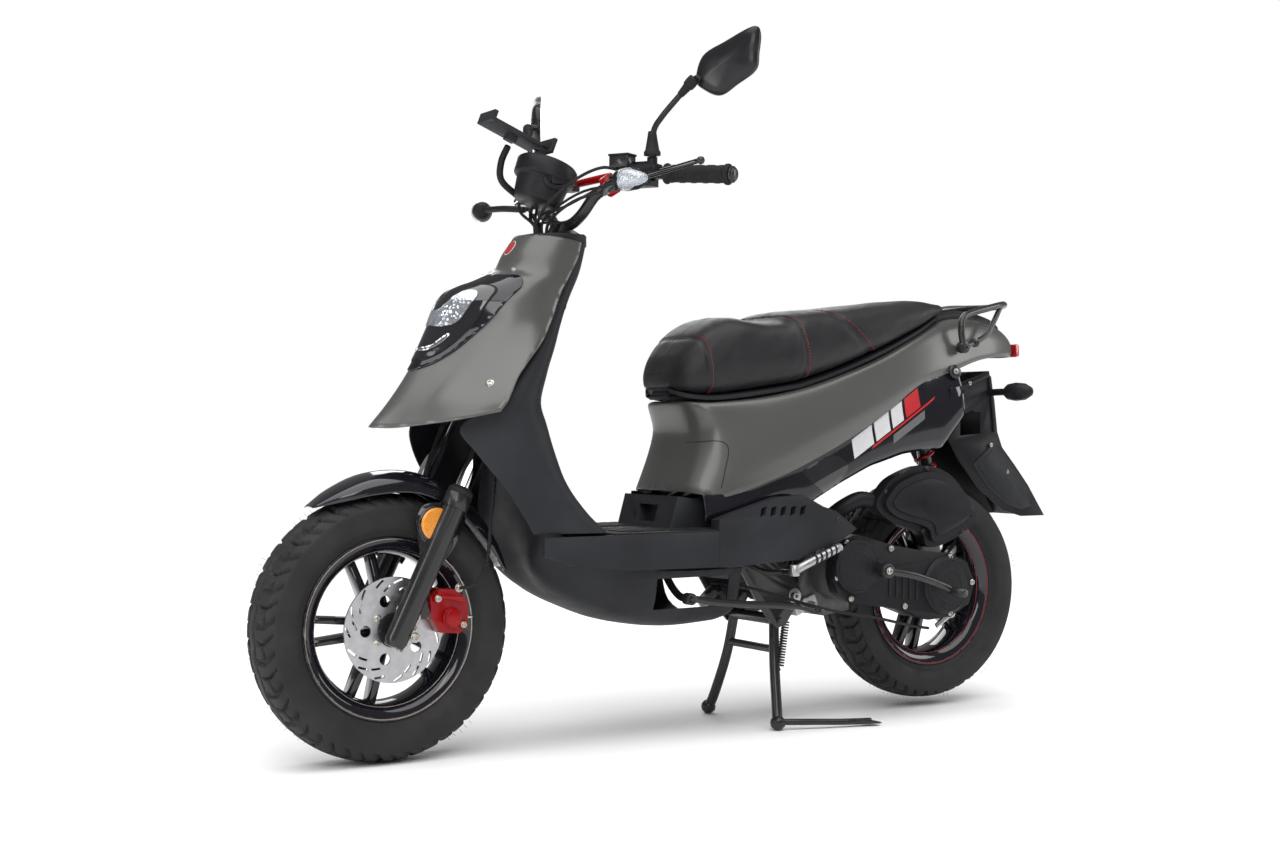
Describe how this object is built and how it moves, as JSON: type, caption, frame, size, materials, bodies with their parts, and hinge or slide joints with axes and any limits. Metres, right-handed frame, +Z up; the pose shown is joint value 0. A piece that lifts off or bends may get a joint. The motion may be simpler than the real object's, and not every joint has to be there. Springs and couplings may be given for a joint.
{
  "type": "moped scooter",
  "caption": "Step-through moped scooter with a telescopic front fork, cast wheels, long seat, swinging engine unit, folding stands, mirrors and a phone holder.",
  "frame": {"origin": "centre of the bounding box on the ground plane", "axes": "+X forward, +Y to the rider's left, +Z up"},
  "size_m": [1.8294, 0.8294, 1.324],
  "materials": {
    "grey_panel": "satin warm mid grey",
    "gloss_black": "gloss black",
    "charcoal": "fine grained charcoal",
    "black_paint": "semi-gloss black",
    "leather": "black, smooth grain",
    "rubber": "matt black",
    "tyre": "matt black",
    "red_metal": "metallic red",
    "steel": "bright",
    "aluminium": "satin",
    "engine_alloy": "dark grey cast",
    "lens": "clear",
    "red_lens": "red lens",
    "mirror_black": "satin black"
  },
  "bodies": {
    "chassis": {"frame": "black_paint", "front_cover": "grey_panel", "headlight_bezel": "gloss_black", "headlight_lens": "lens", "leg_shield": "charcoal", "under_cowl": "charcoal", "floorboard": "charcoal", "body_cover": "grey_panel", "side_trim": "gloss_black", "tail_light": "red_lens", "rear_rack": "black_paint", "rear_mudguard": "charcoal", "storage_box": "charcoal", "rear_brake_cable": "rubber"},
    "seat": {"seat_cushion": "leather", "seat_base": "charcoal"},
    "lock": {"seat_lock": "steel"},
    "steering": {"fork_crown": "steel", "handlebar": "black_paint", "handlebar_brace": "red_metal", "instrument_pod": "charcoal", "left_grip": "rubber", "left_switchgear": "gloss_black", "right_switchgear": "gloss_black", "front_signal_left": "lens", "front_signal_right": "lens", "control_cables": "rubber"},
    "throttle": {"throttle_grip": "rubber"},
    "lever_left": {"brake_lever_left": "gloss_black"},
    "lever_right": {"brake_lever_right": "gloss_black"},
    "mirror_stem_left": {"left_mirror_stem": "mirror_black"},
    "mirror_stem_right": {"right_mirror_stem": "mirror_black"},
    "mirror_head_left": {"left_mirror": "mirror_black"},
    "mirror_head_right": {"right_mirror": "mirror_black"},
    "cradle": {"phone_cradle": "charcoal"},
    "clamp_jaw": {"phone_clamp_jaw": "charcoal"},
    "horn": {"horn_button": "red_metal"},
    "starter": {"starter_button": "red_metal"},
    "fork": {"fork_lower": "black_paint", "front_fender": "gloss_black", "brake_caliper": "red_metal", "brake_hose": "rubber"},
    "front_wheel": {"front_rim": "gloss_black", "front_tyre": "tyre", "brake_disc": "steel"},
    "engine": {"engine_case": "engine_alloy", "transmission_cover": "charcoal", "airbox": "charcoal", "exhaust": "black_paint"},
    "rear_wheel": {"rear_rim": "gloss_black", "rear_tyre": "tyre"},
    "shock_upper": {"shock_body": "black_paint", "shock_spring": "red_metal"},
    "shock_lower": {"shock_rod": "steel"},
    "stand_centre": {"centre_stand": "black_paint"},
    "stand_side": {"side_stand": "black_paint"},
    "kick": {"kick_lever": "black_paint"},
    "peg_left": {"left_foot_peg": "aluminium"},
    "peg_right": {"right_foot_peg": "aluminium"},
    "brake_arm": {"brake_arm": "steel"}
  },
  "joints": [
    {"name": "steering_turn", "type": "hinge", "parent": "chassis", "child": "steering", "pos_m": [0.64553, 0, 0.23204], "axis": [-0.4384, 0, 0.8988], "range_deg": [-35, 35]},
    {"name": "fork_slide", "type": "slide", "parent": "steering", "child": "fork", "axis": [-0.4384, 0, 0.8988], "range_m": [0, 0.035], "stiffness_N_per_m": 9000, "springref_m": -0.06},
    {"name": "front_wheel_spin", "type": "hinge", "parent": "fork", "child": "front_wheel", "pos_m": [0.668, 0, 0.243], "axis": [0, 1, 0], "continuous": true},
    {"name": "throttle_turn", "type": "hinge", "parent": "steering", "child": "throttle", "pos_m": [0.19585, -0.226, 1.07345], "axis": [-0.4633, -0.8825, -0.0809], "range_deg": [0, 80], "stiffness_Nm_per_rad": 0.25, "springref_deg": -20.05},
    {"name": "brake_lever_left_pull", "type": "hinge", "parent": "steering", "child": "lever_left", "pos_m": [0.26511, 0.20074, 1.0622], "axis": [0, 0, 1], "range_deg": [0, 12], "stiffness_Nm_per_rad": 4, "springref_deg": -8.59},
    {"name": "brake_lever_right_pull", "type": "hinge", "parent": "steering", "child": "lever_right", "pos_m": [0.26511, -0.20074, 1.0622], "axis": [0, 0, -1], "range_deg": [0, 12], "stiffness_Nm_per_rad": 4, "springref_deg": -8.59},
    {"name": "mirror_left_turn", "type": "hinge", "parent": "steering", "child": "mirror_stem_left", "pos_m": [0.235, 0.24, 1.1], "axis": [0, 0, 1], "range_deg": [-25, 25]},
    {"name": "mirror_right_turn", "type": "hinge", "parent": "steering", "child": "mirror_stem_right", "pos_m": [0.235, -0.24, 1.1], "axis": [0, 0, 1], "range_deg": [-25, 25]},
    {"name": "mirror_left_tilt", "type": "hinge", "parent": "mirror_stem_left", "child": "mirror_head_left", "pos_m": [0.178, 0.308, 1.235], "axis": [-0.5, 0.866, 0], "range_deg": [-15, 15]},
    {"name": "mirror_right_tilt", "type": "hinge", "parent": "mirror_stem_right", "child": "mirror_head_right", "pos_m": [0.178, -0.308, 1.235], "axis": [-0.5, -0.866, 0], "range_deg": [-15, 15]},
    {"name": "cradle_tilt", "type": "hinge", "parent": "steering", "child": "cradle", "pos_m": [0.385, -0.03, 1.158], "axis": [0, 1, 0], "range_deg": [-12, 12]},
    {"name": "clamp_jaw_slide", "type": "slide", "parent": "cradle", "child": "clamp_jaw", "axis": [-0.9285, 0, -0.3714], "range_m": [0, 0.012], "stiffness_N_per_m": 300, "springref_m": -0.01},
    {"name": "horn_press", "type": "slide", "parent": "steering", "child": "horn", "axis": [0.8894, 0.4572, 0], "range_m": [0, 0.003], "stiffness_N_per_m": 400, "springref_m": -0.002},
    {"name": "starter_press", "type": "slide", "parent": "steering", "child": "starter", "axis": [0.8894, -0.4572, 0], "range_m": [0, 0.003], "stiffness_N_per_m": 400, "springref_m": -0.002},
    {"name": "seat_lift", "type": "hinge", "parent": "chassis", "child": "seat", "pos_m": [0.066, 0, 0.664], "axis": [0, 1, 0], "range_deg": [0, 70]},
    {"name": "seat_lock_turn", "type": "hinge", "parent": "chassis", "child": "lock", "pos_m": [-0.598, 0.1292, 0.722], "axis": [0.1005, 0.9744, 0.2009], "range_deg": [0, 90]},
    {"name": "engine_swing", "type": "hinge", "parent": "chassis", "child": "engine", "pos_m": [-0.2, 0, 0.262], "axis": [0, 1, 0], "range_deg": [0, 5], "stiffness_Nm_per_rad": 2500, "springref_deg": -5.16},
    {"name": "rear_wheel_spin", "type": "hinge", "parent": "engine", "child": "rear_wheel", "pos_m": [-0.608, 0, 0.254], "axis": [0, 1, 0], "continuous": true},
    {"name": "shock_tilt", "type": "hinge", "parent": "chassis", "child": "shock_upper", "pos_m": [-0.52, 0.095, 0.665], "axis": [0, 1, 0], "range_deg": [-1.16, 0]},
    {"name": "shock_stroke", "type": "slide", "parent": "shock_upper", "child": "shock_lower", "axis": [0.1863, 0, 0.9825], "range_m": [0, 0.03434], "deforming": ["shock_spring"]},
    {"name": "kick_swing", "type": "hinge", "parent": "engine", "child": "kick", "pos_m": [-0.36, 0.18, 0.313], "axis": [0, -1, 0], "range_deg": [0, 60], "stiffness_Nm_per_rad": 2, "springref_deg": -34.38},
    {"name": "brake_arm_turn", "type": "hinge", "parent": "engine", "child": "brake_arm", "pos_m": [-0.612, 0.1015, 0.205], "axis": [0, 1, 0], "range_deg": [0, 24.5]},
    {"name": "centre_stand_fold", "type": "hinge", "parent": "chassis", "child": "stand_centre", "pos_m": [-0.165, 0, 0.215], "axis": [0, 1, 0], "range_deg": [0, 50]},
    {"name": "side_stand_swing", "type": "hinge", "parent": "chassis", "child": "stand_side", "pos_m": [0.1, 0.16, 0.277], "axis": [0, -1, 0], "range_deg": [0, 70]},
    {"name": "left_peg_fold", "type": "hinge", "parent": "chassis", "child": "peg_left", "pos_m": [-0.131, 0.185, 0.324], "axis": [0, 0, -1], "range_deg": [0, 80]},
    {"name": "right_peg_fold", "type": "hinge", "parent": "chassis", "child": "peg_right", "pos_m": [-0.131, -0.185, 0.324], "axis": [0, 0, 1], "range_deg": [0, 80]}
  ],
  "couplings": [
    {"joint": "shock_tilt", "follows": "engine_swing", "ratio": -0.22217},
    {"joint": "shock_stroke", "follows": "engine_swing", "m_per_rad": 0.38664},
    {"joint": "brake_arm_turn", "follows": "brake_lever_left_pull", "ratio": 2}
  ]
}
